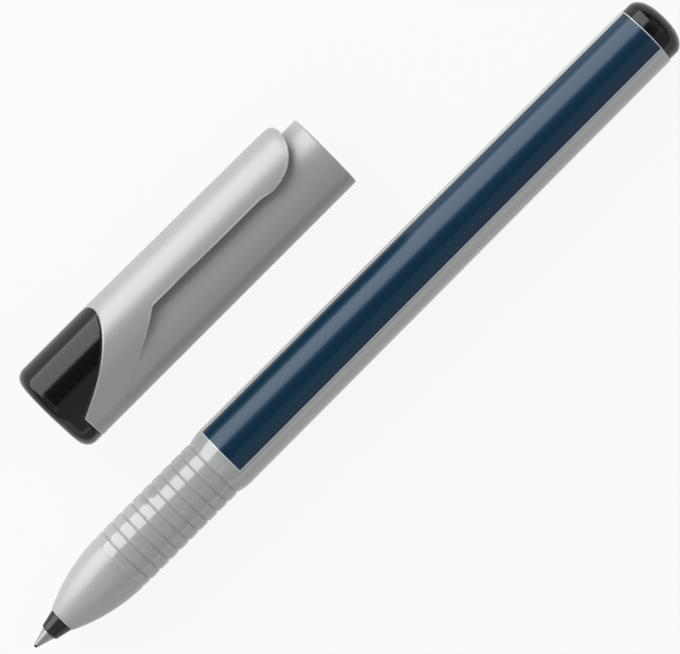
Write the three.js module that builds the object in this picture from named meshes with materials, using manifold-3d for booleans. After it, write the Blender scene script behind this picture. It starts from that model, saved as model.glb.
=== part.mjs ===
// Fine-point marker lying beside its pulled-off cap. Millimetres, +Z up, pen and cap along X.
// The pen's nib points to -X. The cap lies at +Y with its clip leaning over, as it comes to rest.
import * as THREE from "three";
import { mergeVertices } from "three/addons/utils/BufferGeometryUtils.js";
import Module from "manifold-3d";

const wasm = await Module();
wasm.setup();

// Lengths of the pen, in order from the nib point
const nibReach = 0.35;
const sleeveConeLength = 2.55;
const holderConeLength = 2.6;
const noseLength = 12.9;
const grooveCount = 10;
const groovePitch = 1.923;
const shoulderLength = 1.3;
const tubeLength = 85.15;
const plugHeadLength = 3.5;

// Radii of the pen
const nibRadius = 0.26;
const nibTailRadius = 0.7;
const sleeveTipRadius = 0.34;
const sleeveBaseRadius = 1.08;
const sleeveTubeRadius = 0.95;
const holderFrontRadius = 1.41;
const holderRearRadius = 1.97;
const noseFrontRadius = 2.09;
const noseFullness = 2.25;
const gripRadius = 4.85;
const grooveDepth = 0.17;
const grooveHalfWidth = 0.16;
const bandCrown = 0.05;
const tubeFrontRadius = 5.195;
const tubeRearRadius = 4.945;
const rimEdge = 0.25;
const plugHeadRadius = 4.72;
const plugCornerLength = 2.2;
const plugCornerHeight = 3.4;

// Inside of the pen
const barrelWall = 1.1;
const holderSeatRadius = 1.8;
const holderSeatLength = 9;
const holderFlangeRadius = 3;
const holderFlangeLength = 1.6;
const holderTailLength = 3;
const holderTailRadius = 1.6;
const nibInReservoir = 12;
const reservoirAirSpace = 8;
const reservoirRadius = 3.3;
const filmWall = 0.12;
const plugSpigotLength = 7;
const plugWall = 0.9;
const fitClearance = 0.06;
const looseClearance = 0.12;

// Cap, measured from its closed end. Heights are taken from the tube's axis towards the clip
const capLength = 53.65;
const capRadius = 6.12;
const capRimEdge = 0.3;
const capBoreRadius = 5;
const capMouthClearance = 0.15;
const capMouthLength = 3.2;
const collarRise = 2.8;
const clipDrop = 0.37;
const clipRootStation = 15;
const endRingLength = 3;
const endCorner = 1.8;
const windowRakeAngle = 33.4;
const windowApexStation = 14.95;
const slotRakeAngle = 31.6;
const slotStartStation = 11.65;
const slotCornerRadius = 0.6;
const clipEdgeHeight = 5.85;
const clipBeadStation = 44.3;
const clipBeadDrop = 0.57;
const clipBeadRun = 2.8;
const clipEndRadius = 8.3;
const clipWall = 1.25;
const partingGap = 0.15;
const spigotLength = 6;
const sealCupWall = 0.75;
const sealStation = 9.3;
const insertFloor = 2.4;

// How the two lie
const cappedOverlap = 38.3;
const capRestStation = 25;
const capSideDistance = 20.5;
const clipLean = 52.5;

// Facets
const penSides = 40;
const capSides = 48;
const innerSides = 32;
const nibSides = 20;
const noseSteps = 9;
const cornerSteps = 5;

// Stations along the pen, from the nib point
const sleeveStation = nibReach;
const holderStation = sleeveStation + sleeveConeLength;
const noseStation = holderStation + holderConeLength;
const gripStation = noseStation + noseLength;
const gripEndStation = gripStation + (grooveCount - 1) * groovePitch;
const shoulderStation = gripEndStation + shoulderLength;
const rimStation = shoulderStation + tubeLength;
const penLength = rimStation + plugHeadLength;
const windowRake = Math.tan(THREE.MathUtils.degToRad(windowRakeAngle));
const slotRake = Math.tan(THREE.MathUtils.degToRad(slotRakeAngle));

// Closed geometry as a solid that can be cut and joined
function solidOf(geometry) {
  const bare = geometry.clone();
  bare.deleteAttribute("normal");
  bare.deleteAttribute("uv");
  const merged = mergeVertices(bare, 1e-4);
  const corners = merged.index.array;
  const triangles = [];
  for (let i = 0; i < corners.length; i += 3) {
    const [a, b, c] = corners.slice(i, i + 3);
    if (a !== b && b !== c && c !== a) triangles.push(a, b, c);
  }
  return new wasm.Manifold(new wasm.Mesh({
    numProp: 3,
    vertProperties: Float32Array.from(merged.attributes.position.array),
    triVerts: Uint32Array.from(triangles),
  }));
}

function meshOf(name, solid, material) {
  const { vertProperties, triVerts } = solid.getMesh();
  const geometry = new THREE.BufferGeometry();
  geometry.setAttribute("position", new THREE.BufferAttribute(vertProperties, 3));
  geometry.setIndex(new THREE.BufferAttribute(triVerts, 1));
  geometry.computeVertexNormals();
  const mesh = new THREE.Mesh(geometry, material);
  mesh.name = name;
  return mesh;
}

// Solid of revolution round X from [station, radius] pairs that run from -X to +X outside, then back
function turned(profile, sides) {
  const points = profile.map(([station, radius]) => new THREE.Vector2(radius, station));
  return solidOf(new THREE.LatheGeometry(points, sides).rotateZ(-Math.PI / 2));
}

// Solid between equal rings of points, each ring one flat convex section
function lofted(rings) {
  const count = rings[0].length;
  const last = (rings.length - 1) * count;
  const index = [];
  for (let r = 0; r < rings.length - 1; r++) {
    for (let i = 0; i < count; i++) {
      const a = r * count + i;
      const b = r * count + ((i + 1) % count);
      index.push(a, b, a + count, b, b + count, a + count);
    }
  }
  for (let i = 1; i < count - 1; i++) {
    index.push(0, i + 1, i);
    index.push(last, last + i, last + i + 1);
  }
  const geometry = new THREE.BufferGeometry().setFromPoints(rings.flat());
  geometry.setIndex(index);
  return solidOf(geometry);
}

// Prism across the cap from an outline of station and height
function acrossCap(shape) {
  const width = 4 * capRadius;
  const geometry = new THREE.ExtrudeGeometry(shape, { depth: width, bevelEnabled: false, curveSegments: 8 });
  return solidOf(geometry.rotateX(Math.PI / 2).translate(0, width / 2, 0));
}

// Points of a quarter ellipse that turns from running along the axis to running down to it
function cornerPoints(station, radius, length, height) {
  const points = [];
  for (let i = 0; i <= cornerSteps; i++) {
    const angle = (i / cornerSteps) * (Math.PI / 2);
    points.push([station + length * Math.sin(angle), radius - height * (1 - Math.cos(angle))]);
  }
  return points;
}

// Radius of the nose at a station: full towards the grip and steep towards the nib
function noseRadius(station) {
  const along = (station - noseStation) / noseLength;
  return noseFrontRadius + (gripRadius - noseFrontRadius) * (1 - (1 - along) ** noseFullness);
}

function noseProfile() {
  const points = [[noseStation, noseFrontRadius - rimEdge / 2]];
  for (let i = 0; i < noseSteps; i++) {
    const station = noseStation + rimEdge / 2 + (i / noseSteps) * (noseLength - rimEdge / 2);
    points.push([station, noseRadius(station)]);
  }
  return points;
}

// Thin grooves with slightly crowned bands between them
function gripProfile() {
  const points = [];
  for (let i = 0; i < grooveCount; i++) {
    const station = gripStation + i * groovePitch;
    points.push([station - grooveHalfWidth, gripRadius]);
    points.push([station, gripRadius - grooveDepth]);
    points.push([station + grooveHalfWidth, gripRadius]);
    if (i < grooveCount - 1) points.push([station + groovePitch / 2, gripRadius + bandCrown]);
  }
  return points;
}

const wideBoreRadius = gripRadius - grooveDepth - barrelWall + fitClearance;
const seatBoreRadius = holderSeatRadius + fitClearance;
const seatEndStation = noseStation + holderSeatLength;
const flangeEndStation = seatEndStation + holderFlangeLength;
const tailEndStation = flangeEndStation + holderTailLength;
const reservoirStation = tailEndStation + looseClearance;
const reservoirEndStation = rimStation - plugSpigotLength - reservoirAirSpace;
const spigotRadius = wideBoreRadius - fitClearance;

function barrel() {
  return turned([
    ...noseProfile(),
    ...gripProfile(),
    [gripEndStation + shoulderLength * 0.45, tubeFrontRadius - grooveDepth],
    [shoulderStation, tubeFrontRadius],
    [rimStation - rimEdge, tubeRearRadius],
    [rimStation, tubeRearRadius - rimEdge],
    [rimStation, wideBoreRadius],
    [seatEndStation + holderFlangeRadius - seatBoreRadius, wideBoreRadius],
    [seatEndStation, holderFlangeRadius + fitClearance],
    [seatEndStation, seatBoreRadius],
    [noseStation, seatBoreRadius],
    [noseStation, noseFrontRadius - rimEdge / 2],
  ], penSides);
}

function endPlug() {
  const frontStation = rimStation + fitClearance;
  const cornerStation = penLength - plugCornerLength;
  return turned([
    [rimStation - plugSpigotLength, spigotRadius - plugWall],
    [rimStation - plugSpigotLength, spigotRadius - rimEdge],
    [rimStation - plugSpigotLength + rimEdge, spigotRadius],
    [frontStation, spigotRadius],
    [frontStation, plugHeadRadius],
    ...cornerPoints(cornerStation, plugHeadRadius, plugCornerLength, plugCornerHeight),
    [penLength, 0],
    [rimStation, 0],
    [rimStation, spigotRadius - plugWall],
    [rimStation - plugSpigotLength, spigotRadius - plugWall],
  ], penSides);
}

// Exposed cone, seat in the nose, flange behind the seat and a tail that leads the nib to the ink
function nibHolder() {
  const sleeveBore = sleeveTubeRadius + fitClearance;
  const nibBore = nibTailRadius + fitClearance;
  const sleeveEnd = noseStation + looseClearance;
  const lip = rimEdge / 2;
  return turned([
    [holderStation, sleeveBore],
    [holderStation, holderFrontRadius - lip],
    [holderStation + lip, holderFrontRadius],
    [noseStation - fitClearance, holderRearRadius],
    [noseStation - fitClearance, holderSeatRadius],
    [seatEndStation + fitClearance, holderSeatRadius],
    [seatEndStation + fitClearance, holderFlangeRadius - rimEdge],
    [seatEndStation + fitClearance + rimEdge, holderFlangeRadius],
    [flangeEndStation, holderFlangeRadius],
    [flangeEndStation, holderTailRadius],
    [tailEndStation, holderTailRadius],
    [tailEndStation, nibBore],
    [sleeveEnd, nibBore],
    [sleeveEnd, sleeveBore],
    [holderStation, sleeveBore],
  ], innerSides);
}

// Metal cone with a short tube that is pushed into the holder
function nibSleeve() {
  const bore = nibRadius + fitClearance / 2;
  const baseStation = holderStation - fitClearance;
  return turned([
    [sleeveStation, bore],
    [sleeveStation, sleeveTipRadius],
    [baseStation, sleeveBaseRadius],
    [baseStation, sleeveTubeRadius],
    [noseStation, sleeveTubeRadius],
    [noseStation, bore],
    [sleeveStation, bore],
  ], nibSides);
}

function nib() {
  const tailStation = noseStation + looseClearance + fitClearance;
  return turned([
    [0, 0],
    [nibRadius * 0.25, nibRadius * 0.7],
    [nibRadius, nibRadius],
    [tailStation, nibRadius],
    [tailStation + nibTailRadius, nibTailRadius],
    [reservoirStation + nibInReservoir, nibTailRadius],
    [reservoirStation + nibInReservoir + nibTailRadius, nibTailRadius / 2],
    [reservoirStation + nibInReservoir + nibTailRadius, 0],
  ], nibSides);
}

// Fibre bundle with the hole that the nib's tail has pressed into it
function inkReservoir() {
  const hole = nibTailRadius + fitClearance;
  const holeEnd = reservoirStation + nibInReservoir + nibTailRadius + looseClearance;
  return turned([
    [reservoirStation, hole],
    [reservoirStation, reservoirRadius],
    [reservoirEndStation, reservoirRadius],
    [reservoirEndStation, 0],
    [holeEnd, 0],
    [holeEnd, hole],
    [reservoirStation, hole],
  ], innerSides);
}

function reservoirFilm() {
  const inner = reservoirRadius + fitClearance;
  return turned([
    [reservoirStation, inner],
    [reservoirStation, inner + filmWall],
    [reservoirEndStation, inner + filmWall],
    [reservoirEndStation, inner],
    [reservoirStation, inner],
  ], innerSides);
}

// Height of the clip-side arc's centre over the tube's axis: level to the clip's root, then falling
function riseAt(station) {
  const clipLength = clipTipStation - clipRootStation;
  return collarRise - clipDrop * Math.max(0, station - clipRootStation) / clipLength;
}

const clipBeadHeight = clipEdgeHeight - clipBeadDrop;
const clipTipStation = clipBeadStation + Math.sqrt(
  clipEndRadius ** 2 - (clipBeadHeight + clipEndRadius - capRadius - collarRise + clipDrop) ** 2);
const crownHeight = capRadius + collarRise;

// Section of the cap across its axis: an arch on the clip's side over a round or a flat lower side
function capSection(station, inset, rise, roundBelow) {
  const radius = capRadius - inset;
  const ring = [];
  const half = capSides / 2;
  for (let i = 0; i <= half; i++) {
    const angle = (i / half - 0.5) * Math.PI;
    ring.push(new THREE.Vector3(station, -radius * Math.sin(angle), rise + radius * Math.cos(angle)));
  }
  ring.push(new THREE.Vector3(station, -radius, 0));
  for (let i = 1; i < half && roundBelow; i++) {
    const angle = (i / half) * Math.PI;
    ring.push(new THREE.Vector3(station, -radius * Math.cos(angle), -radius * Math.sin(angle)));
  }
  ring.push(new THREE.Vector3(station, radius, 0));
  return ring;
}

// Side outline of collar and clip: raked slot floor, straight edge, bead and rounded free end
function clipOutline() {
  const below = -1;
  const above = crownHeight + 2;
  const slotTop = slotStartStation + clipEdgeHeight / slotRake;
  const turn = slotCornerRadius;
  const endCentre = clipBeadHeight + clipEndRadius;
  const topAngle = Math.asin((above - endCentre) / clipEndRadius);
  const shape = new THREE.Shape();
  shape.moveTo(0, below);
  shape.lineTo(slotStartStation + below / slotRake, below);
  shape.lineTo(slotTop - turn, clipEdgeHeight - turn * slotRake);
  shape.quadraticCurveTo(slotTop, clipEdgeHeight, slotTop + turn, clipEdgeHeight);
  shape.lineTo(clipBeadStation - clipBeadRun, clipEdgeHeight);
  shape.bezierCurveTo(
    clipBeadStation - clipBeadRun * 0.62, clipEdgeHeight,
    clipBeadStation - clipBeadRun * 0.45, clipBeadHeight,
    clipBeadStation, clipBeadHeight);
  shape.absarc(clipBeadStation, endCentre, clipEndRadius, -Math.PI / 2, topAngle, false);
  shape.lineTo(0, above);
  return shape;
}

// Everything of the cap behind the raked parting plane, moved by a gap along the cap
function windowOutline(gap) {
  const above = crownHeight + 2;
  const apex = windowApexStation + gap;
  const ring = endRingLength + gap;
  const ringHeight = crownHeight - (apex - ring) * windowRake;
  const shape = new THREE.Shape();
  shape.moveTo(-1, -2 * capRadius);
  shape.lineTo(ring, -2 * capRadius);
  shape.lineTo(ring, ringHeight);
  shape.lineTo(apex + (above - crownHeight) / windowRake, above);
  shape.lineTo(-1, above);
  return shape;
}

// Hollow under the clip: an arch one wall inside the clip, ending in the slot's raked floor
function clipHollow() {
  const end = clipTipStation + 1;
  const start = slotStartStation;
  const arch = lofted([start, clipRootStation, end].map(
    (station) => capSection(station, clipWall, riseAt(station), false)));
  const floor = new THREE.Shape();
  floor.moveTo(slotStartStation, 0);
  floor.lineTo(end + 1, 0);
  floor.lineTo(end + 1, crownHeight);
  floor.lineTo(slotStartStation + crownHeight / slotRake, crownHeight);
  return arch.intersect(acrossCap(floor));
}

const capBackStation = cappedOverlap - capLength;
const sealCupEnd = sealStation - capBackStation;
const sealCupRadius = noseRadius(sealStation) + fitClearance;
const capMouthRadius = tubeFrontRadius + capMouthClearance;

function capTube() {
  return turned([
    [endRingLength, 0],
    [endRingLength, capRadius],
    [capLength - capRimEdge, capRadius],
    [capLength, capRadius - capRimEdge],
    [capLength, 0],
  ], capSides);
}

function capBore() {
  const mouthStation = capLength - capMouthLength;
  return turned([
    [-1, 0],
    [-1, capBoreRadius],
    [mouthStation, capBoreRadius],
    [mouthStation + capMouthRadius - capBoreRadius, capMouthRadius],
    [capLength + 1, capMouthRadius],
    [capLength + 1, 0],
  ], capSides);
}

function capShell() {
  const saddle = lofted([endRingLength, clipRootStation, clipTipStation + 1].map(
    (station) => capSection(station, 0, riseAt(station), false)));
  const clip = saddle.intersect(acrossCap(clipOutline())).subtract(clipHollow());
  return capTube().add(clip).subtract(acrossCap(windowOutline(partingGap))).subtract(capBore());
}

// Black end: rounded cover and raked tongue, spigot in the shell's bore and cup that seals the nose
function capInsert() {
  const rings = [];
  for (let i = 0; i <= cornerSteps; i++) {
    const angle = (i / cornerSteps) * (Math.PI / 2);
    const inset = endCorner * (1 - Math.sin(angle));
    rings.push(capSection(endCorner * (1 - Math.cos(angle)), inset, collarRise, true));
  }
  rings.push(capSection(windowApexStation + 1, 0, collarRise, true));
  const cover = lofted(rings).intersect(acrossCap(windowOutline(0)));
  const spigotEnd = endRingLength + spigotLength;
  const cupOuter = sealCupRadius + sealCupWall;
  const spigot = turned([
    [insertFloor, 0],
    [insertFloor, capBoreRadius - fitClearance],
    [spigotEnd, capBoreRadius - fitClearance],
    [spigotEnd, cupOuter],
    [sealCupEnd, cupOuter],
    [sealCupEnd, 0],
  ], capSides);
  const cup = turned([
    [insertFloor, 0],
    [insertFloor, sealCupRadius],
    [sealCupEnd + 1, sealCupRadius],
    [sealCupEnd + 1, 0],
  ], capSides);
  return cover.add(spigot).subtract(cup);
}

const greyPlastic = new THREE.MeshStandardMaterial({ color: 0xb4b8b5, roughness: 0.38, metalness: 0 });
const capPlastic = new THREE.MeshStandardMaterial({ color: 0xb0b4b1, roughness: 0.5, metalness: 0 });
const blackPlastic = new THREE.MeshStandardMaterial({ color: 0x1a1a1b, roughness: 0.2, metalness: 0 });
const insertPlastic = new THREE.MeshStandardMaterial({ color: 0x181819, roughness: 0.22, metalness: 0 });
const holderPlastic = new THREE.MeshStandardMaterial({ color: 0x1c1c1d, roughness: 0.3, metalness: 0 });
const steel = new THREE.MeshStandardMaterial({ color: 0xb9bbbd, roughness: 0.25, metalness: 1 });
const fibre = new THREE.MeshStandardMaterial({ color: 0x121214, roughness: 0.8, metalness: 0 });
const inkFibre = new THREE.MeshStandardMaterial({ color: 0x141418, roughness: 0.95, metalness: 0 });
const filmPlastic = new THREE.MeshStandardMaterial({ color: 0xe4e6e8, roughness: 0.3, metalness: 0 });

const pen = new THREE.Group();
pen.add(
  meshOf("barrel", barrel(), greyPlastic),
  meshOf("end_plug", endPlug(), blackPlastic),
  meshOf("nib_holder", nibHolder(), holderPlastic),
  meshOf("nib_sleeve", nibSleeve(), steel),
  meshOf("nib", nib(), fibre),
  meshOf("ink_reservoir", inkReservoir(), inkFibre),
  meshOf("reservoir_film", reservoirFilm(), filmPlastic),
);
pen.position.z = tubeFrontRadius;

const cap = new THREE.Group();
cap.add(
  meshOf("cap_shell", capShell(), capPlastic),
  meshOf("cap_insert", capInsert(), insertPlastic),
);
cap.position.set(capRestStation, capSideDistance, capRadius);
cap.rotation.x = THREE.MathUtils.degToRad(-clipLean);

const marker = new THREE.Group();
marker.add(pen, cap);

// The origin is the middle of the box's underside
marker.updateMatrixWorld(true);
const box = new THREE.Box3().setFromObject(marker, true);
const middle = box.getCenter(new THREE.Vector3());
marker.position.set(-middle.x, -middle.y, -box.min.z);

export default marker;
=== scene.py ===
"""Dresses the packed fibre-tip marker and its pulled-off cap: fine surfaces, finishes and a small studio."""

import math
from functools import partial

import bpy
import numpy as np
from mathutils import Matrix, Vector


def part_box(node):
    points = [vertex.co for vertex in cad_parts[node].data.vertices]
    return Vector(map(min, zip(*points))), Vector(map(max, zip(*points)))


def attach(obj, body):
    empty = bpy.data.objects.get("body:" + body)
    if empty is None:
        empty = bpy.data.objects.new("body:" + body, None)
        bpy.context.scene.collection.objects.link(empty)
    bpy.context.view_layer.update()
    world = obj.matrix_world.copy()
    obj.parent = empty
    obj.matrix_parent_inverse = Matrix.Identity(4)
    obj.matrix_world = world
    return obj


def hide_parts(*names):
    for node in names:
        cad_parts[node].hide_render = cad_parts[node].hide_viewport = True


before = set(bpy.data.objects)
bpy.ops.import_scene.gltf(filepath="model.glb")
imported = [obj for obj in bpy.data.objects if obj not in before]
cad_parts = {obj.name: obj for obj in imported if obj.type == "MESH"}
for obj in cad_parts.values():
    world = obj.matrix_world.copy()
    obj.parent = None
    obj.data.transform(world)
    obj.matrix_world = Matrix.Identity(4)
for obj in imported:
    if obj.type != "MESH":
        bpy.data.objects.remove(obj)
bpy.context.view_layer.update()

bl_info = {
    "name": "Fibre-tip marker",
    "version": (1, 0, 0),
    "blender": (4, 5, 0),
    "location": "View3D > Sidebar > Marker",
    "description": "Builds a fibre-tip marker with its cap, their finishes and a studio round them",
    "category": "Object",
}

MM = 0.001
# Points closer than this count as one
TOUCHING = 1e-7
# Clearance between pieces that seat in each other, and where one only passes another
SEATED = 0.06 * MM
LOOSE = 0.12 * MM

# Fixed places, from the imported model
nib_low, nib_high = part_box("nib")
sleeve_low, sleeve_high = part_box("nib_sleeve")
holder_low, holder_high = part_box("nib_holder")
barrel_low, barrel_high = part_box("barrel")
plug_low, plug_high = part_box("end_plug")
PEN_AXIS = ((barrel_low + barrel_high) / 2).yz
# Closed end and lower side of the cap, and the length from that end to its rim
cap_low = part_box("cap_insert")[0]
CAP_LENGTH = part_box("cap_shell")[1].x - cap_low.x


def length(name, millimetres, description, least=0):
    """A size or place in the panel, written in millimetres"""
    return bpy.props.FloatProperty(
        name=name, description=description, default=millimetres * MM, min=least * MM, precision=5,
        unit="LENGTH")


def turn(name, degrees, description):
    """An angle in the panel, written in degrees"""
    return bpy.props.FloatProperty(
        name=name, description=description, default=math.radians(degrees), subtype="ANGLE")


def number(name, value, description):
    """A share, exponent or brightness in the panel"""
    return bpy.props.FloatProperty(name=name, description=description, default=value, min=0, precision=3)


def linear(hex_code):
    """An sRGB hex value as the linear colour that Blender's sockets take"""
    channels = [int(hex_code[i:i + 2], 16) / 255 for i in (1, 3, 5)]
    return tuple(c / 12.92 if c <= 0.04045 else ((c + 0.055) / 1.055) ** 2.4 for c in channels)


def colour(name, hex_code, description):
    """A colour in the panel, written as sRGB hex"""
    return bpy.props.FloatVectorProperty(
        name=name, description=description, default=linear(hex_code), min=0, max=1, subtype="COLOR")


class PenSizes(bpy.types.PropertyGroup):
    nose_radius: length("Nose front radius", 2.09, "Radius of the barrel where the nib holder comes out")
    nose_length: length("Nose length", 12.9, "From the barrel's front to the first groove")
    nose_fullness: number("Nose fullness", 2.25, "How full the nose is towards the grip")
    crease_offset: length("Crease offset", 1.45, "From the first groove to the ring that ends the nose")
    crease_depth: length("Crease depth", 0.08, "How deep that ring is cut")
    crease_half_width: length("Crease half width", 0.2, "Half of that ring's width")
    grip_radius: length("Grip radius", 4.85, "Radius of the grip between its grooves")
    groove_count: bpy.props.IntProperty(
        name="Grooves", description="Number of grip grooves", default=10, min=1)
    groove_pitch: length("Groove pitch", 1.923, "Distance between two grooves")
    groove_depth: length("Groove depth", 0.17, "How deep a groove is cut")
    groove_half_width: length("Groove half width", 0.2, "Half of a groove's width")
    band_crown: length("Band crown", 0.05, "How far a band swells between two grooves")
    shoulder_length: length("Shoulder length", 2.5, "From the last groove to the full tube")
    shoulder_fullness: number("Shoulder fullness", 2, "How soon the shoulder reaches the tube's width")
    tube_radius: length("Tube front radius", 5.195, "Radius of the tube behind the shoulder")
    tube_end_radius: length("Tube rear radius", 4.945, "Radius of the tube at its rear rim")
    rim_edge: length("Rim edge", 0.16, "Rounding of the barrel's rims")
    wall: length("Barrel wall", 1.17, "Wall of the tube at the rear rim")
    seat_length: length("Seat length", 9, "From the barrel's front to the end of the holder's seat")
    funnel_length: length("Funnel length", 3, "From that seat to the wide bore")
    funnel_share: number("Funnel share", 0.82, "Radius where the funnel ends, as a share of the bore")
    plug_radius: length("Plug radius", 4.78, "Radius of the end plug's head")
    plug_corner_length: length("Plug corner length", 2.2, "Rounding of the plug's end along the pen")
    plug_corner_height: length("Plug corner height", 3.4, "Rounding of the plug's end across the pen")
    plug_spigot_radius: length("Plug spigot radius", 3.58, "Radius of the part that sits in the barrel")
    plug_wall: length("Plug wall", 0.9, "Wall of the hollow spigot")
    holder_front_radius: length("Holder front radius", 1.41, "Front of the cone that holds the nib sleeve")
    holder_rear_radius: length("Holder rear radius", 1.97, "Rear of the cone, at the barrel's nose")
    holder_seat_radius: length("Holder seat radius", 1.8, "Part of the holder inside the nose")
    holder_flange_radius: length("Holder flange radius", 3, "Flange behind the seat")
    holder_flange_length: length("Holder flange length", 1.6, "Thickness of the flange")
    holder_tail_length: length("Holder tail length", 3, "Tail that leads the nib into the ink")
    holder_tail_wall: length("Holder tail wall", 0.9, "Wall of that tail, round the nib")
    sleeve_tip_radius: length("Sleeve tip radius", 0.34, "Metal cone at the fibre point")
    sleeve_base_radius: length("Sleeve base radius", 1.08, "Metal cone at the holder")
    sleeve_tube_radius: length("Sleeve tube radius", 0.95, "Metal tube inside the holder")
    nib_radius: length("Nib radius", 0.26, "Fibre point")
    nib_tail_radius: length("Nib tail radius", 0.7, "Fibre rod inside the pen")


class CapSizes(bpy.types.PropertyGroup):
    radius: length("Cap radius", 6.12, "Outside of the cap's tube")
    lean: turn("Lean", 52.5, "How far the clip leans from straight up, towards +Y")
    bore_radius: length("Bore radius", 5, "Inside of the cap")
    mouth_radius: length("Mouth radius", 5.345, "Inside of the cap at its mouth")
    mouth_length: length("Mouth length", 3.2, "How deep the wider mouth goes")
    rise: length("Collar rise", 2.8, "How far the arch of collar and clip stands over the tube")
    drop: length("Clip drop", 0.37, "How far the clip falls towards its free end")
    root: length("Clip root", 15, "Where the clip starts to fall, from the closed end")
    ring: length("End ring", 3, "Length of the black end all round")
    corner: length("End corner", 1.8, "Rounding of the closed end")
    window_rake: turn("Window rake", 33.4, "Slope of the black window's edge")
    window_apex: length("Window apex", 14.95, "Where the window ends on the crown")
    window_bulge: length("Window bulge", 0.55, "How far the window's edge bows towards the mouth")
    slot_rake: turn("Slot rake", 31.6, "Slope of the edge that frees the clip")
    slot_start: length("Slot start", 11.65, "Where that edge leaves the tube's side")
    slot_corner: length("Slot corner", 0.08, "Rounding at the clip's root")
    clip_edge: length("Clip edge height", 5.88, "Height of the clip's lower edge over the axis, at its root")
    clip_edge_drop: length("Clip edge drop", 0.3, "How far that edge falls towards the bead")
    bead: length("Bead station", 44.4, "Lowest point of the clip's bead")
    bead_drop: length("Bead drop", 0.3, "How far the bead hangs under the edge")
    bead_run: length("Bead run", 2.4, "Length of the slope to the bead")
    end_radius: length("Clip end radius", 8.9, "Round free end of the clip, seen from the side")
    dip: length("Clip dip", 0.45, "How much further the clip falls at its very end")
    dip_run: length("Clip dip run", 2.6, "Length of that last fall")
    wall: length("Clip wall", 1.4, "Wall of collar and clip")
    gap: length("Parting gap", 0.1, "Seam between grey shell and black insert")
    edge: length("Moulded edge", 0.14, "Rounding of the shell's free edges")
    seam_edge: length("Seam edge", 0.16, "Rounding of the edges along the seam")
    spigot_length: length("Spigot length", 6, "Insert inside the shell")
    spigot_gap: length("Spigot gap", 0.06, "Clearance round the spigot")
    mouth_edge: length("Mouth edge", 0.2, "Rounding of the cap's mouth, outside")
    bore_edge: length("Bore edge", 0.15, "Rounding where a bore meets a face")
    inner_edge: length("Inner edge", 0.1, "Rounding of the clip's inner edges")
    root_fillet: length("Root fillet", 0.12, "Fillet where the clip's collar grows out of the tube")
    spigot_edge: length("Spigot edge", 0.2, "Rounding of the spigot's end")
    cup_edge: length("Seal cup edge", 0.25, "Rounding of the cup's end")
    floor_fillet: length("Floor fillet", 0.8, "Fillet round the cup's floor")
    cup_radius: length("Seal cup radius", 3.83, "Cup that closes round the pen's nose")
    cup_wall: length("Seal cup wall", 0.75, "Wall of that cup")
    cup_end: length("Seal cup end", 24.65, "End of the cup, from the closed end")
    floor: length("Insert floor", 2.4, "Thickness of the closed end")
    cell: length("Mesh cell", 0.21, "Spacing of the cap's mesh")


class PanelSizes(bpy.types.PropertyGroup):
    start: length("Panel start", 38.3, "Start of the printed panel, from the nib point")
    end: length("Panel end", 121.98, "End of the printed panel, from the nib point")
    cap_side: turn("Panel edge on the cap side", 66, "Edge of the panel, from straight up")
    far_side: turn("Panel edge on the far side", 33.5, "Edge of the panel, from straight up")
    keyline: length("Keyline", 0.1, "Width of the pale line round the panel")
    softness: length("Print softness", 0.05, "Width over which the printed edge fades")


class Finishes(bpy.types.PropertyGroup):
    barrel: colour("Barrel grey", "#A3A5A2", "Silvery grey of the barrel")
    barrel_flake: number("Barrel flake share", 0.13, "Share of the barrel's sheen that is its flake's")
    cap: colour("Cap grey", "#A0A29F", "Silvery grey of the cap shell")
    cap_flake: number("Cap flake share", 0.24, "Share of the cap's sheen that is its flake's")
    # Painted highlight: the cap's thin edges are mixed towards this paler grey, as far as the share below
    # says
    edge: colour("Cap edge", "#D8DAD7", "Paler grey of the cap's thin edges")
    edge_highlight_share: number("Edge share", 0.4, "How far the cap's edges take that grey")
    panel: colour("Panel blue", "#002D45", "Navy printing ink")
    panel_flake: number("Panel flake share", 0.2, "Share of the panel's sheen that is its flake's")
    keyline: colour("Keyline", "#D4D8DA", "Pale line round the panel")
    black: colour("Black", "#0A0A0A", "Black plastic of plug and cap end")
    holder: colour("Holder black", "#101010", "Black plastic of the nib holder")
    steel: colour("Sleeve steel", "#949698", "Stainless steel of the nib sleeve")
    nib: colour("Inked fibre", "#101012", "Fibre point soaked with black ink")
    ink: colour("Ink bundle", "#15151A", "Fibre bundle that holds the ink")
    film: colour("Film", "#E4E6E8", "Plastic tube round the ink bundle")


class Studio(bpy.types.PropertyGroup):
    floor: colour("Floor", "#C8C8C8", "Board under the object, as it returns the lamps' light")
    backlight: number("Backlight share", 0.9, "Share of the board's look that is its own even white")
    key: number("Key radiance", 3.85, "Brightness of the large softbox beyond the cap")
    key_front: length("Key front", 980, "How far the key reaches past the nib's side of the middle")
    key_rear: length("Key rear", 450, "How far the key reaches past the plug's side of the middle")
    key_start: turn("Key start", 30, "Upper edge of the key, from straight up")
    key_end: turn("Key end", 85, "Lower edge of the key, from straight up")
    fill: number("Fill radiance", 0.46, "Brightness of the long fill on the other side")
    fill_reach: length("Fill reach", 1300, "How far the fill reaches past the middle, both ways")
    fill_start: turn("Fill start", -90, "Lower edge of the fill, from straight up")
    fill_end: turn("Fill end", -18, "Upper edge of the fill, from straight up")
    ends: number("End radiance", 0.5, "Brightness of the two softboxes off the pen's ends")
    ends_height: turn("End height", 50, "Angle of those softboxes over the horizon")
    sky: number("Sky radiance", 0.09, "Brightness of the dark room overhead")
    horizon: number("Horizon radiance", 1, "Brightness of the pale horizon")
    camera_height: length("Camera height", 620, "Camera above the pen's axis")
    frame_width: length("Frame width", 96.08, "What the camera sees across, at the pen's axis")
    camera_x: length("Camera X", -0.348, "Point under the camera", least=-1000)
    camera_y: length("Camera Y", -10.353, "Point under the camera", least=-1000)
    roll: turn("Roll", 45, "Turn of the picture round the view's axis")


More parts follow.
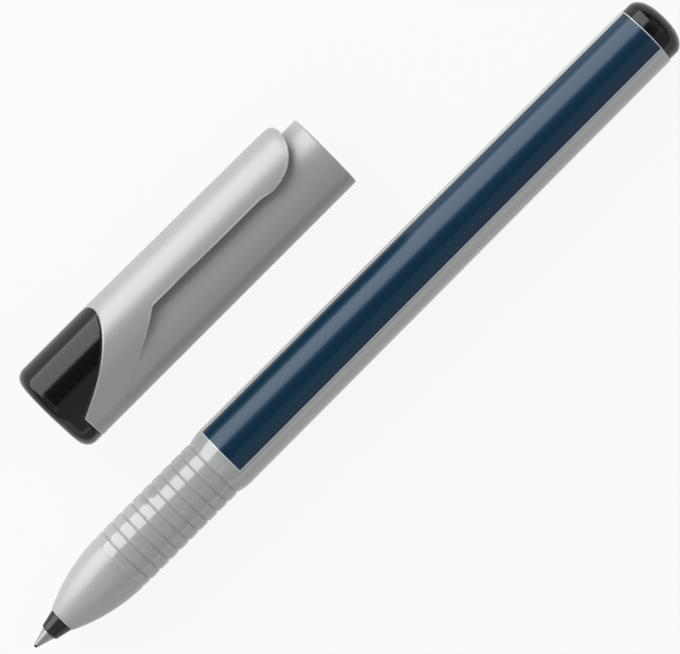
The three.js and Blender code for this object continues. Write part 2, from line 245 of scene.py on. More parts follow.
GROUPS = {
    "marker_pen": PenSizes,
    "marker_cap": CapSizes,
    "marker_panel": PanelSizes,
    "marker_finishes": Finishes,
    "marker_studio": Studio,
}


def add(tree, kind, inputs=None, **settings):
    """Adds a node, sets its properties, then sets its inputs or links them to sockets and nodes"""
    node = tree.nodes.new(kind)
    for name, value in settings.items():
        setattr(node, name, value)
    for key, value in (inputs or {}).items():
        if isinstance(value, bpy.types.Node):
            value = value.outputs[0]
        if isinstance(value, bpy.types.NodeSocket):
            tree.links.new(value, node.inputs[key])
        else:
            node.inputs[key].default_value = value
    return node


def new_object(name, data):
    """Object in the scene, round its data"""
    made = bpy.data.objects.new(name, data)
    bpy.context.scene.collection.objects.link(made)
    return made


def new_material(name):
    """Node material that starts without nodes, and its tree"""
    material = bpy.data.materials.new(name)
    material.use_nodes = True
    material.node_tree.nodes.clear()
    return material, material.node_tree


def finish_piece(piece, body, nodes):
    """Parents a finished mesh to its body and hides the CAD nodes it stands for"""
    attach(piece, body)
    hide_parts(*nodes)


# Turned pieces

SIDES = 128
TIP_SIDES = 96


def rounded(outline, steps=5):
    """Outline points of [station, radius, rounding], with each rounded corner as a short curve"""
    # One more point on each side, a little past the curve, keeps the shading of the flat sides flat
    past = 1.2
    points = []
    count = len(outline)
    for i, (station, radius, rounding) in enumerate(outline):
        here = np.array([station, radius])
        if rounding == 0:
            points.append(here)
            continue
        before = np.array(outline[(i - 1) % count][:2]) - here
        after = np.array(outline[(i + 1) % count][:2]) - here
        before /= np.linalg.norm(before)
        after /= np.linalg.norm(after)
        points.append(here + before * rounding * past)
        for t in np.linspace(0, 1, steps + 1):
            points.append(here + rounding * ((1 - t) ** 2 * before + t ** 2 * after))
        points.append(here + after * rounding * past)
    return points


def turned(name, profile, sides, material):
    """Closed mesh from an outline of station and radius round the pen's axis, front to rear outside"""
    vertices = []
    rings = []
    for station, radius in profile:
        count = sides if radius > TOUCHING else 1
        rings.append([len(vertices) + i % count for i in range(sides)])
        for angle in np.arange(count) / sides * 2 * math.pi:
            across = PEN_AXIS[0] + radius * math.sin(angle)
            up = PEN_AXIS[1] + radius * math.cos(angle)
            vertices.append((station, across, up))
    if profile[0][1] > TOUCHING:
        rings.append(rings[0])
    faces = []
    for ring, following in zip(rings, rings[1:]):
        for i in range(sides):
            face = list(dict.fromkeys([ring[i - 1], ring[i], following[i], following[i - 1]]))
            if len(face) > 2:
                faces.append(face)
    return meshed(name, vertices, faces, material)


def meshed(name, vertices, faces, material):
    """Smooth mesh object of one material"""
    mesh = bpy.data.meshes.new(name)
    mesh.from_pydata(vertices, [], faces)
    mesh.validate()
    mesh.shade_smooth()
    mesh.materials.append(material)
    return new_object(name + "_fine", mesh)


def curved_corner(station, radius, along, across, steps=14):
    """Quarter ellipse from running along the axis to running down to it"""
    angles = np.linspace(0, math.pi / 2, steps + 1)
    return [(station + along * math.sin(a), radius - across * (1 - math.cos(a))) for a in angles]


# Finishes

def moulded(name, tone, roughness, grain, relief, tone_change, flake=0.0, ior=1.49):
    """Node material of a moulded or extruded plastic, and the nodes that the caller may build on"""
    material, tree = new_material(name)
    place = add(tree, "ShaderNodeTexCoord").outputs["Object"]
    # Slow change of tone, as pigment flows in the mould
    flow_size = 9 * MM
    flow = add(tree, "ShaderNodeTexNoise", {"Vector": place, "Scale": 1 / flow_size, "Detail": 2})
    tint = add(tree, "ShaderNodeMix", {
        0: flow,
        6: (*(c * (1 - tone_change) for c in tone), 1),
        7: (*(min(1, c * (1 + tone_change)) for c in tone), 1),
    }, data_type="RGBA")
    # Fine texture of the mould's wall; the real grain is about 0.05 mm and is drawn coarser to show
    texture = add(tree, "ShaderNodeTexNoise", {
        "Vector": place, "Scale": 1 / grain, "Detail": 3, "Roughness": 0.6})
    bump = add(tree, "ShaderNodeBump", {"Height": texture, "Distance": relief, "Strength": 1})
    gloss_change = 0.12
    gloss = add(tree, "ShaderNodeMapRange", {
        "Value": texture,
        "To Min": roughness * (1 - gloss_change),
        "To Max": roughness * (1 + gloss_change),
    })
    shader = add(tree, "ShaderNodeBsdfPrincipled", {
        "Base Color": tint.outputs[2],
        "Roughness": gloss,
        "Normal": bump,
        "Metallic": flake,
        "IOR": ior,
    })
    add(tree, "ShaderNodeOutputMaterial", {"Surface": shader})
    return material, {"place": place, "tint": tint, "gloss": gloss, "shader": shader}


def within(tree, value, low, high, softness):
    """1 where a value lies between low and high, fading to 0 over the softness at each end"""
    offset = add(tree, "ShaderNodeMath", {0: value, 1: (low + high) / 2}, operation="SUBTRACT")
    away = add(tree, "ShaderNodeMath", {0: offset}, operation="ABSOLUTE")
    return add(tree, "ShaderNodeMapRange", {
        "Value": away,
        "From Min": (high - low) / 2 + softness / 2,
        "From Max": (high - low) / 2 - softness / 2,
    })


def printed_mask(tree, place, panel, radius, margin):
    """Area of the printed panel, or of the panel and a margin round it"""
    centred = add(tree, "ShaderNodeMapping", {
        "Vector": place, "Location": (-nib_low.x, -PEN_AXIS[0], -PEN_AXIS[1])})
    spot = add(tree, "ShaderNodeSeparateXYZ", {0: centred}).outputs
    angle = add(tree, "ShaderNodeMath", {0: spot["Y"], 1: spot["Z"]}, operation="ARCTAN2")
    spread = margin / radius
    along = within(tree, spot["X"], panel.start - margin, panel.end + margin, panel.softness)
    around = within(
        tree, angle, -panel.far_side - spread, panel.cap_side + spread, panel.softness / radius)
    return add(tree, "ShaderNodeMath", {0: along, 1: around}, operation="MULTIPLY")


def barrel_finish(finishes, panel, radius, nose_end):
    """Polypropylene with a trace of aluminium flake, gravure printed: clear reflections, and a satin nose"""
    material, parts = moulded(
        "moulded_polypropylene_printed", finishes.barrel, roughness=0.14, grain=0.2 * MM,
        relief=0.0004 * MM, tone_change=0.02, flake=finishes.barrel_flake)
    tree = material.node_tree

    # Colour: the plastic, the pale keyline over it, and the panel's ink over both
    edge = printed_mask(tree, parts["place"], panel, radius, panel.keyline)
    ink = printed_mask(tree, parts["place"], panel, radius, 0)
    lined = add(tree, "ShaderNodeMix", {
        0: edge, 6: parts["tint"].outputs[2], 7: (*finishes.keyline, 1)}, data_type="RGBA")
    inked = add(tree, "ShaderNodeMix", {
        0: ink, 6: lined.outputs[2], 7: (*finishes.panel, 1)}, data_type="RGBA")

    # Gloss: polished tube and grip, a satin nose that is duller towards the nib, and the dried ink
    along = add(tree, "ShaderNodeSeparateXYZ", {"Vector": parts["place"]}).outputs["X"]
    satin = add(tree, "ShaderNodeMapRange", {
        "Value": along, "From Min": nose_end, "From Max": barrel_low.x, "To Min": 0.28, "To Max": 0.42})
    on_nose = add(tree, "ShaderNodeMath", {0: along, 1: nose_end}, operation="LESS_THAN")
    plain = add(tree, "ShaderNodeMix", {0: on_nose, 2: parts["gloss"], 3: satin}, data_type="FLOAT")
    ink_roughness = 0.24
    glossed = add(tree, "ShaderNodeMix", {0: ink, 2: plain, 3: ink_roughness}, data_type="FLOAT")
    flake = add(tree, "ShaderNodeMix", {
        0: ink, 2: finishes.barrel_flake, 3: finishes.panel_flake}, data_type="FLOAT")
    shader = parts["shader"]
    tree.links.new(inked.outputs[2], shader.inputs["Base Color"])
    tree.links.new(glossed.outputs[0], shader.inputs["Roughness"])
    tree.links.new(flake.outputs[0], shader.inputs["Metallic"])
    return material


def cap_finish(finishes):
    """Polypropylene with aluminium flake, from a blasted mould: broad silvery sheen, with a painted
    highlight that makes the thin edges paler
    """
    material, parts = moulded(
        "moulded_polypropylene_satin", finishes.cap, roughness=0.4, grain=0.22 * MM,
        relief=0.002 * MM, tone_change=0.02, flake=finishes.cap_flake)
    tree = material.node_tree
    # Painted highlight: the edge attribute mixes the cap's grey towards a paler one along its thin edges
    edge = add(tree, "ShaderNodeAttribute", attribute_name="edge", attribute_type="GEOMETRY")
    share = add(tree, "ShaderNodeMath", {
        0: edge.outputs["Fac"], 1: finishes.edge_highlight_share}, operation="MULTIPLY")
    highlighted_edges = add(tree, "ShaderNodeMix", {
        0: share, 6: parts["tint"].outputs[2], 7: (*finishes.edge, 1)}, data_type="RGBA")
    tree.links.new(highlighted_edges.outputs[2], parts["shader"].inputs["Base Color"])
    return material


def black_finish(finishes):
    """Polypropylene with carbon black from a polished mould: deep black with clear reflections"""
    return moulded(
        "moulded_polypropylene_black", finishes.black, roughness=0.16, grain=0.3 * MM,
        relief=0.0006 * MM, tone_change=0.12, ior=1.4)[0]


def holder_finish(finishes):
    """Acetal with carbon black, moulded: black, a little duller than the plug"""
    return moulded(
        "moulded_acetal_black", finishes.holder, roughness=0.2, grain=0.12 * MM,
        relief=0.001 * MM, tone_change=0.12, ior=1.45)[0]


def film_finish(finishes):
    """Extruded polyester film: thin, milky and smooth"""
    return moulded(
        "extruded_polyester_film", finishes.film, roughness=0.2, grain=0.5 * MM,
        relief=0.001 * MM, tone_change=0.02)[0]


def steel_finish(finishes):
    """Stainless steel, turned on a lathe: fine rings round the cone that stretch its highlights"""
    material, tree = new_material("turned_stainless_steel")
    place = add(tree, "ShaderNodeTexCoord").outputs["Object"]
    # Feed marks along the axis, really about 0.05 mm apart and drawn coarser to show
    spacing = 0.15 * MM
    wave_at_scale_one = 2 * math.pi / 20
    rings = add(tree, "ShaderNodeTexWave", {
        "Vector": place, "Scale": wave_at_scale_one / spacing, "Distortion": 0.4,
        "Detail": 2, "Detail Scale": 4}, wave_type="BANDS", bands_direction="X").outputs["Fac"]
    relief = 0.0004 * MM
    shader = add(tree, "ShaderNodeBsdfPrincipled", {
        "Base Color": (*finishes.steel, 1),
        "Metallic": 1.0,
        "Roughness": add(tree, "ShaderNodeMapRange", {"Value": rings, "To Min": 0.42, "To Max": 0.5}),
        "Normal": add(tree, "ShaderNodeBump", {"Height": rings, "Distance": relief, "Strength": 1}),
    })
    add(tree, "ShaderNodeOutputMaterial", {"Surface": shader})
    return material


def fibre(name, tone, thickness):
    """Bonded fibres that run along the pen, wet with ink: matt with a damp sheen"""
    material, tree = new_material(name)
    place = add(tree, "ShaderNodeTexCoord").outputs["Object"]
    # The pattern is drawn out along the pen, so that its specks read as strands
    drawn_out = 0.06
    stretched = add(tree, "ShaderNodeMapping", {"Vector": place, "Scale": (drawn_out, 1, 1)})
    strands = add(tree, "ShaderNodeTexNoise", {
        "Vector": stretched, "Scale": 1 / thickness, "Detail": 2})
    dark, pale = 0.5, 1.8
    tint = add(tree, "ShaderNodeMix", {
        0: strands, 6: (*(c * dark for c in tone), 1), 7: (*(c * pale for c in tone), 1)}, data_type="RGBA")
    relief = 0.3 * thickness
    bump = add(tree, "ShaderNodeBump", {"Height": strands, "Distance": relief, "Strength": 1})
    shader = add(tree, "ShaderNodeBsdfPrincipled", {
        "Base Color": tint.outputs[2], "Roughness": 0.55, "Normal": bump, "IOR": 1.4})
    add(tree, "ShaderNodeOutputMaterial", {"Surface": shader})
    return material


# Barrel

def crease_station(sizes):
    """Where a fine ring ends the satin nose, a short way before the first groove"""
    return barrel_low.x + sizes.nose_length - sizes.crease_offset


def nose_radius_at(station, sizes):
    """Radius of the full, rounded nose, with its ring"""
    along = (station - barrel_low.x) / sizes.nose_length
    full = (sizes.grip_radius - sizes.nose_radius) * (1 - (1 - along) ** sizes.nose_fullness)
    away = (station - crease_station(sizes)) / sizes.crease_half_width
    return sizes.nose_radius + full - sizes.crease_depth * math.exp(-away ** 2)


def grip_stations(sizes, first):
    """Stations that are close together in each groove and even over each band"""
    half_widths = np.array([-1.25, -1, -0.8, -0.6, -0.35, 0, 0.35, 0.6, 0.8, 1, 1.25])
    groove = half_widths * sizes.groove_half_width
    band = np.linspace(0.2, 0.8, 5) * sizes.groove_pitch
    stations = []
    for i in range(sizes.groove_count):
        at = first + i * sizes.groove_pitch
        stations.extend([*(at + groove), *(at + band)])
    # The grip starts and ends with a groove
    return stations[1:-len(band)]


def barrel_outline(sizes):
    """Closed outline of the barrel as [station, radius, outside], outside 1 where grooves may cut"""
    front, rear = barrel_low.x, barrel_high.x
    first = front + sizes.nose_length
    last = first + (sizes.groove_count - 1) * sizes.groove_pitch
    shoulder = last + sizes.shoulder_length
    nose_rows, ramp_rows, tube_rows = 120, 22, 32
    edge = sizes.rim_edge / 2
    bore = sizes.tube_end_radius - sizes.wall
    seat = sizes.holder_seat_radius + SEATED
    nose_stations = np.linspace(front + edge, first - 1.4 * sizes.groove_half_width, nose_rows)
    nose = [(s, nose_radius_at(s, sizes), 1) for s in nose_stations]
    grip = [(s, sizes.grip_radius, 1) for s in grip_stations(sizes, first)]
    ramp_start = last + 1.3 * sizes.groove_half_width
    full = sizes.tube_radius - sizes.grip_radius
    ramp = [(ramp_start + t * (shoulder - ramp_start),
             sizes.grip_radius + full * (1 - (1 - t) ** sizes.shoulder_fullness))
            for t in np.linspace(0.02, 1, ramp_rows)]
    slope = (sizes.tube_end_radius - sizes.tube_radius) / (rear - shoulder)
    tube = [(s, sizes.tube_radius + slope * (s - shoulder))
            for s in np.linspace(shoulder + MM, rear - MM, tube_rows)]
    rim = rounded([
        (rear - MM, sizes.tube_end_radius, 0),
        (rear, sizes.tube_end_radius, sizes.rim_edge),
        (rear, bore, 0.12 * MM),
        (rear - 8 * MM, bore, 0),
    ])
    seat_end = front + sizes.seat_length
    inside = [
        (seat_end + sizes.funnel_length, bore * sizes.funnel_share),
        (seat_end, sizes.holder_flange_radius + SEATED),
        (seat_end, seat),
        (front, seat),
    ]
    lip = rounded([
        (front, seat, 0),
        (front, sizes.nose_radius, edge * 0.8),
        (front + edge * 2, nose_radius_at(front + edge * 2, sizes), 0),
    ])[1:-2]
    outside = [(s, r, 0) for s, r in [*ramp, *tube[:-1], *rim[1:], *inside, *lip]]
    closed = [*nose, *grip, *outside]
    return [*closed, closed[0]]


def ribbed_barrel_tree():
    """Geometry nodes that turn an outline round an axis and cut evenly spaced grooves into its outside"""
    tree = bpy.data.node_groups.new("ribbed_barrel", "GeometryNodeTree")
    inputs = {
        "NodeSocketGeometry": ("Geometry",),
        "NodeSocketObject": ("Outline",),
        "NodeSocketVector": ("Axis",),
        "NodeSocketInt": ("Rows", "Sides", "Grooves"),
        "NodeSocketFloat": (
            "First groove", "Groove pitch", "Groove depth", "Groove half width", "Band crown"),
        "NodeSocketMaterial": ("Finish",),
    }
    for kind, names in inputs.items():
        for name in names:
            tree.interface.new_socket(name, in_out="INPUT", socket_type=kind)
    tree.interface.new_socket("Geometry", in_out="OUTPUT", socket_type="NodeSocketGeometry")
    given = add(tree, "NodeGroupInput").outputs

    # A flat grid with a row for each of the outline's points, as wide as one full turn in radians
    columns = add(tree, "ShaderNodeMath", {0: given["Sides"], 1: 1}, operation="ADD")
    grid = add(tree, "GeometryNodeMeshGrid", {
        "Size X": 2 * math.pi, "Vertices X": columns, "Vertices Y": given["Rows"]})
    here = add(tree, "GeometryNodeInputPosition")
    angle = add(tree, "ShaderNodeSeparateXYZ", {0: here}).outputs["X"]
    index = add(tree, "GeometryNodeInputIndex")
    row = add(tree, "ShaderNodeMath", {0: index, 1: given["Rows"]}, operation="MODULO")
    outline = add(tree, "GeometryNodeObjectInfo", {"Object": given["Outline"]}).outputs["Geometry"]
    sample = add(tree, "GeometryNodeSampleIndex", {
        "Geometry": outline, "Value": here, "Index": row}, data_type="FLOAT_VECTOR", domain="POINT")
    point = add(tree, "ShaderNodeSeparateXYZ", {0: sample.outputs["Value"]}).outputs
    station, radius, outside = (point[axis] for axis in "XYZ")

    # Depth of the nearest groove, with the distance to it counted in pitches
    run = add(tree, "ShaderNodeMath", {0: station, 1: given["First groove"]}, operation="SUBTRACT")
    count = add(tree, "ShaderNodeMath", {0: run, 1: given["Groove pitch"]}, operation="DIVIDE")
    last = add(tree, "ShaderNodeMath", {0: given["Grooves"], 1: 1}, operation="SUBTRACT")
    held = add(tree, "ShaderNodeClamp", {"Value": count, "Min": 0.0, "Max": last})
    near = add(tree, "ShaderNodeMath", {0: held, 1: 0.5}, operation="PINGPONG")
    past = add(tree, "ShaderNodeMath", {0: count, 1: held}, operation="SUBTRACT")
    beyond = add(tree, "ShaderNodeMath", {0: past}, operation="ABSOLUTE")
    pitches = add(tree, "ShaderNodeMath", {0: near, 1: beyond}, operation="ADD")
    away = add(tree, "ShaderNodeMath", {0: pitches, 1: given["Groove pitch"]}, operation="MULTIPLY")
    groove = add(tree, "ShaderNodeMapRange", {
        "Value": away, "From Min": 0.0, "From Max": given["Groove half width"],
        "To Min": given["Groove depth"], "To Max": 0.0}, interpolation_type="SMOOTHSTEP")

    # Swell of the band between two grooves: 0 at the grooves, the crown's height midway
    rest = add(tree, "ShaderNodeMath", {0: 1.0, 1: near}, operation="SUBTRACT")
    bow = add(tree, "ShaderNodeMath", {0: near, 1: rest}, operation="MULTIPLY")
    hump = add(tree, "ShaderNodeMath", {0: bow, 1: 4.0}, operation="MULTIPLY")
    crown = add(tree, "ShaderNodeMath", {0: hump, 1: given["Band crown"]}, operation="MULTIPLY")

    # Each grid point goes out to its radius and round the axis to its angle
    change = add(tree, "ShaderNodeMath", {0: crown, 1: groove}, operation="SUBTRACT")
    reach = add(tree, "ShaderNodeMath", {0: change, 1: outside, 2: radius}, operation="MULTIPLY_ADD")
    arm = add(tree, "ShaderNodeCombineXYZ", {"X": station, "Z": reach})
    ring = add(tree, "ShaderNodeVectorRotate", {"Vector": arm, "Angle": angle}, rotation_type="X_AXIS")
    placed = add(tree, "ShaderNodeVectorMath", {0: ring, 1: given["Axis"]}, operation="ADD")
    bent = add(tree, "GeometryNodeSetPosition", {"Geometry": grid, "Position": placed})
    closed = add(tree, "GeometryNodeMergeByDistance", {"Geometry": bent, "Distance": TOUCHING})
    smooth = add(tree, "GeometryNodeSetShadeSmooth", {"Geometry": closed})
    real = add(tree, "GeometryNodeRealizeInstances", {"Geometry": smooth})
    dressed = add(tree, "GeometryNodeSetMaterial", {"Geometry": real, "Material": given["Finish"]})
    add(tree, "NodeGroupOutput", {0: dressed})
    return tree


def applied(name, tree, values):
    """Runs a geometry nodes tree with its inputs set by name, and returns what it made as an object"""
    carrier = new_object(name + "_carrier", bpy.data.meshes.new(name + "_seed"))
    modifier = carrier.modifiers.new(name, "NODES")
    modifier.node_group = tree
    for socket in tree.interface.items_tree:
        if socket.in_out == "INPUT" and socket.name in values:
            modifier[socket.identifier] = values[socket.name]
    bpy.context.view_layer.update()
    evaluated = carrier.evaluated_get(bpy.context.evaluated_depsgraph_get())
    mesh = bpy.data.meshes.new_from_object(evaluated)
    carrier.modifiers.remove(modifier)
    bpy.data.objects.remove(carrier)
    if not mesh.polygons:
        raise RuntimeError(f"{name}: the geometry nodes made no faces")
    return new_object(name + "_fine", mesh)


def volume(mesh):
    """Signed volume inside a closed mesh: above 0 where its faces point outwards"""
    mesh.calc_loop_triangles()
    corners = np.empty(len(mesh.loop_triangles) * 3, np.int32)
    mesh.loop_triangles.foreach_get("vertices", corners)
    points = np.empty(len(mesh.vertices) * 3)
    mesh.vertices.foreach_get("co", points)
    a, b, c = points.reshape(-1, 3)[corners].reshape(-1, 3, 3).swapaxes(0, 1)
    return float(np.einsum("ij,ij->", a, np.cross(b, c)) / 6)


def facing_out(piece):
    """Turns a closed mesh's faces outwards where they point in"""
    if volume(piece.data) < 0:
        piece.data.flip_normals()
    return piece


class MARKER_OT_barrel(bpy.types.Operator):
    """Turns the barrel with its ribbed grip and gives it the printed plastic finish"""
    bl_idname = "marker.barrel"
    bl_label = "Barrel"

    def execute(self, context):
        sizes = context.scene.marker_pen
        panel = context.scene.marker_panel
        finish = barrel_finish(
            context.scene.marker_finishes, panel, sizes.tube_radius, crease_station(sizes))
        rows = barrel_outline(sizes)
        line = bpy.data.meshes.new("barrel_outline")
        line.from_pydata(rows, [], [])
        outline = new_object("barrel_outline", line)
        piece = applied("barrel", ribbed_barrel_tree(), {
            "Outline": outline,
            "Axis": (0.0, *PEN_AXIS),
            "Rows": len(rows),
            "Sides": SIDES,
            "First groove": barrel_low.x + sizes.nose_length,
            "Grooves": sizes.groove_count,
            "Groove pitch": sizes.groove_pitch,
            "Groove depth": sizes.groove_depth,
            "Groove half width": sizes.groove_half_width,
            "Band crown": sizes.band_crown,
            "Finish": finish,
        })
        bpy.data.objects.remove(outline)
        finish_piece(facing_out(piece), "pen", ["barrel"])
        return {"FINISHED"}


class MARKER_OT_end_plug(bpy.types.Operator):
    """Turns the black plug at the barrel's rear end"""
    bl_idname = "marker.end_plug"
    bl_label = "End plug"

    def execute(self, context):
        sizes = context.scene.marker_pen
        finish = black_finish(context.scene.marker_finishes)
        face = barrel_high.x + SEATED
        front, rear = plug_low.x, plug_high.x
        inner = sizes.plug_spigot_radius - sizes.plug_wall
        head = rounded([
            (front, inner, 0.1 * MM),
            (front, sizes.plug_spigot_radius, 0.25 * MM),
            (face, sizes.plug_spigot_radius, 0),
            (face, sizes.plug_radius, 0.12 * MM),
            (rear - sizes.plug_corner_length, sizes.plug_radius, 0),
        ])
        dome = curved_corner(
            rear - sizes.plug_corner_length, sizes.plug_radius,
            sizes.plug_corner_length, sizes.plug_corner_height)
        hollow = [(rear, 0), (barrel_high.x, 0), (barrel_high.x, inner)]
        profile = [*head, *dome[1:], *hollow]
        piece = facing_out(turned("end_plug", profile, SIDES, finish))
        finish_piece(piece, "pen", ["end_plug"])
        return {"FINISHED"}


class MARKER_OT_tip(bpy.types.Operator):
    """Turns the nib holder, the metal sleeve and the fibre nib"""
    bl_idname = "marker.tip"
    bl_label = "Nib and its holder"

    def execute(self, context):
        sizes = context.scene.marker_pen
        finishes = context.scene.marker_finishes
        fibres = fibre("bonded_acrylic_fibre", finishes.nib, 0.05 * MM)
        pieces = (
            ("nib_holder", holder_profile(sizes), holder_finish(finishes), "holder_plastic"),
            ("nib_sleeve", sleeve_profile(sizes), steel_finish(finishes), "sleeve_metal"),
            ("nib", nib_profile(sizes), fibres, "nib_fibre"),
        )
        for node, profile, finish, slot in pieces:
            piece = facing_out(turned(node, profile, TIP_SIDES, finish))
            finish_piece(piece, "pen", [node])
        return {"FINISHED"}


def holder_profile(sizes):
    """Cone before the nose, seat in it, flange and tail, bored for the sleeve and the nib"""
    front, rear = holder_low.x, holder_high.x
    nose = barrel_low.x - SEATED
    chamfer = 0.12 * MM
    sleeve_bore = sizes.sleeve_tube_radius + SEATED
    sleeve_end = sleeve_high.x + LOOSE
    nib_bore = sizes.nib_tail_radius + SEATED
    tail_radius = sizes.nib_tail_radius + sizes.holder_tail_wall
    flange_end = rear - sizes.holder_tail_length
    flange = flange_end - sizes.holder_flange_length + SEATED
    return rounded([
        (front, sleeve_bore, 0.04 * MM),
        (front, sizes.holder_front_radius - chamfer, 0),
        (front + chamfer, sizes.holder_front_radius, 0.06 * MM),
        (nose, sizes.holder_rear_radius, 0.08 * MM),
        (nose, sizes.holder_seat_radius, 0),
        (flange, sizes.holder_seat_radius, 0),
        (flange, sizes.holder_flange_radius, 0.2 * MM),
        (flange_end, sizes.holder_flange_radius, 0.1 * MM),
        (flange_end, tail_radius, 0),
        (rear, tail_radius, 0.2 * MM),
        (rear, nib_bore, 0),
        (sleeve_end, nib_bore, 0),
        (sleeve_end, sleeve_bore, 0),
    ])


def sleeve_profile(sizes):
    """Cone at the point, and the thinner tube that the holder grips"""
    front, rear = sleeve_low.x, sleeve_high.x
    base = holder_low.x - SEATED
    bore = sizes.nib_radius + SEATED / 2
    return rounded([
        (front, bore, 0),
        (front, sizes.sleeve_tip_radius, 0.03 * MM),
        (base, sizes.sleeve_base_radius, 0.05 * MM),
        (base, sizes.sleeve_tube_radius, 0),
        (rear, sizes.sleeve_tube_radius, 0),
        (rear, bore, 0),
    ])


def nib_profile(sizes):
    """Round point, thin shaft in the sleeve and thicker tail in the ink"""
    point, rear = nib_low.x, nib_high.x
    widens = sleeve_high.x + LOOSE + SEATED
    angles = np.linspace(0, math.pi / 2, 9)
    tip = [(point + sizes.nib_radius * (1 - math.cos(a)), sizes.nib_radius * math.sin(a)) for a in angles]
    return [
        *tip,
        (widens, sizes.nib_radius),
        (widens + sizes.nib_tail_radius, sizes.nib_tail_radius),
        (rear - sizes.nib_tail_radius, sizes.nib_tail_radius),
        (rear, sizes.nib_tail_radius / 2),
        (rear, 0),
    ]


class MARKER_OT_ink(bpy.types.Operator):
    """Gives the hidden ink bundle and its film their finishes"""
    bl_idname = "marker.ink"
    bl_label = "Ink bundle and film"

    def execute(self, context):
        finishes = context.scene.marker_finishes
        bundle = fibre("ink_soaked_polyester_bundle", finishes.ink, 0.12 * MM)
        for node, finish in (("ink_reservoir", bundle), ("reservoir_film", film_finish(finishes))):
            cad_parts[node].data.materials.clear()
            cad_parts[node].data.materials.append(finish)
        return {"FINISHED"}


# Cap, as distances in metres from its surfaces, below 0 inside

def both(a, b, rounding=0.0):
    """Distance to what lies in both shapes, with their shared edge rounded"""
    if rounding == 0:
        return np.maximum(a, b)
    corner = np.hypot(np.maximum(a + rounding, 0), np.maximum(b + rounding, 0))
    return np.minimum(np.maximum(a, b), -rounding) + corner


def either(a, b, rounding=0.0):
    """Distance to what lies in one shape or the other, with a fillet between them"""
    return -both(-a, -b, rounding)


def arch(across, height, top, radius):
    """Distance from the section that a circle covers as it is raised from the axis to the top"""
    return np.hypot(across, height - np.clip(height, 0, top)) - radius


def window_distance(station, height, sizes):
    """Distance from the raked parting surface, below 0 on the black insert's side"""
    crown = sizes.radius + sizes.rise
    slope = math.tan(sizes.window_rake)
    share = np.clip(1 + (height - crown) / (slope * (sizes.window_apex - sizes.ring)), 0, 1)
    bowed = sizes.window_apex + 4 * sizes.window_bulge * share * (1 - share)
    raked = (slope * (station - bowed) - (height - crown)) * math.cos(sizes.window_rake)
    return np.minimum(station - sizes.ring, raked)


def rise_at(station, sizes, tip):
    """Height of the clip's arch: level to the clip's root, then falling to its tip, where it rounds off"""
    fall = np.clip((station - sizes.root) / (tip - sizes.root), 0, None)
    # The last fall goes on a little past the tip, so that the end's outline meets it cleanly
    past_tip = 1.2
    dip = np.clip(1 + (station - tip) / sizes.dip_run, 0, past_tip)
    return sizes.rise - sizes.drop * fall - sizes.dip * dip ** 3


def clip_tip(sizes):
    """Station where the clip's round end meets its crown"""
    crown = sizes.radius + sizes.rise - sizes.drop - sizes.dip
    centre = bead_height(sizes) + sizes.end_radius
    return sizes.bead + math.sqrt(sizes.end_radius ** 2 - (centre - crown) ** 2)


def bead_height(sizes):
    """Height of the bead's lowest point over the axis"""
    return sizes.clip_edge - sizes.clip_edge_drop - sizes.bead_drop


def shell_distance(points, sizes):
    """Distance to the grey shell: tube, collar and clip, less the bore and the window"""
    station, across, height = points.T
    tube = both(np.hypot(across, height) - sizes.radius, station - CAP_LENGTH, sizes.mouth_edge)
    top = rise_at(station, sizes, clip_tip(sizes))

    # Side outline of collar and clip: raked slot edge, straight edge, bead and round end
    slope = math.tan(sizes.slot_rake)
    slot = (slope * (station - sizes.slot_start) - height) * math.cos(sizes.slot_rake)
    fall = np.clip((station - sizes.bead + sizes.bead_run) / sizes.bead_run, 0, 1)
    along = np.clip((station - sizes.root) / (sizes.bead - sizes.root), 0, 1)
    bead = sizes.bead_drop * fall ** 2 * (3 - 2 * fall)
    low_edge = sizes.clip_edge - sizes.clip_edge_drop * along - bead
    side = either(slot, low_edge - height, sizes.slot_corner)
    end_centre = bead_height(sizes) + sizes.end_radius
    end = np.hypot(station - sizes.bead, height - end_centre) - sizes.end_radius
    side = np.where(station > sizes.bead, end, side)

    hollow = both(arch(across, height, top, sizes.radius - sizes.wall), -slot)
    outer = both(arch(across, height, top, sizes.radius), side, sizes.edge)
    clip = both(outer, -hollow, sizes.inner_edge)
    solid = either(tube, clip, sizes.root_fillet)
    bored = both(solid, -bore_distance(station, across, height, sizes), sizes.bore_edge)
    return both(bored, sizes.gap - window_distance(station, height, sizes), sizes.seam_edge)


def bore_distance(station, across, height, sizes):
    """Distance to the cap's bore, which widens towards its mouth"""
    step = sizes.mouth_radius - sizes.bore_radius
    widened = np.clip(station - (CAP_LENGTH - sizes.mouth_length), 0, step)
    return np.hypot(across, height) - sizes.bore_radius - widened


def insert_distance(points, sizes):
    """Distance to the black insert: closed end with its window, spigot and seal cup"""
    station, across, height = points.T
    section = arch(across, height, sizes.rise, sizes.radius)
    cover = both(section, -station, sizes.corner)
    cover = both(cover, window_distance(station, height, sizes), sizes.seam_edge)
    from_axis = np.hypot(across, height)
    behind = sizes.floor - station
    spigot_end = sizes.ring + sizes.spigot_length
    spigot_radius = sizes.bore_radius - sizes.spigot_gap
    spigot = both(both(from_axis - spigot_radius, station - spigot_end, sizes.spigot_edge), behind)
    cup_outer = sizes.cup_radius + sizes.cup_wall
    cup = both(both(from_axis - cup_outer, station - sizes.cup_end, sizes.cup_edge), behind)
    solid = either(either(cover, spigot), cup)
    hollow = both(from_axis - sizes.cup_radius, behind, sizes.floor_fillet)
    return both(solid, -hollow, sizes.bore_edge)


def slopes(distance, points, step):
    """How a distance changes along each axis, at points"""
    columns = []
    for axis in range(3):
        shift = np.zeros(3)
        shift[axis] = step
        columns.append((distance(points + shift) - distance(points - shift)) / (2 * step))
    return np.stack(columns, 1)


